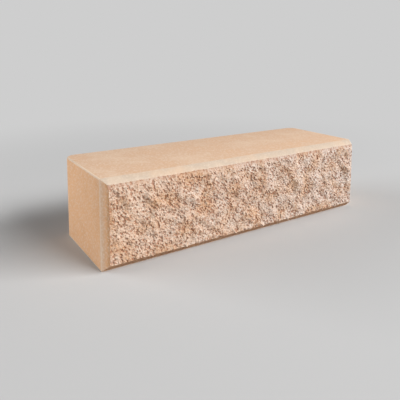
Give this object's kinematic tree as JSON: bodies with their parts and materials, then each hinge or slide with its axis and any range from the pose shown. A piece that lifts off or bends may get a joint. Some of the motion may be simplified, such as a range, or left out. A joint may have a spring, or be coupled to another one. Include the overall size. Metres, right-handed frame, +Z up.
{
  "type": "split-face facing brick",
  "caption": "Pressed rectangular facing brick with a rough split front framed by the sloping flanks of a groove, and rounded upright corners at the back.",
  "frame": {"origin": "middle of the bed, halfway between the back face and the plane of the break, at the level the brick rests on", "axes": "+X along the length, -Y out of the split face, +Z up from the bed"},
  "size_m": [0.25, 0.0879, 0.065],
  "materials": {
    "pressed_brick": "matte pressed brick in a sandy straw colour, with a rough broken front that is paler and pitted"
  },
  "bodies": {
    "root": {"split_face_brick": "pressed_brick"}
  },
  "joints": []
}
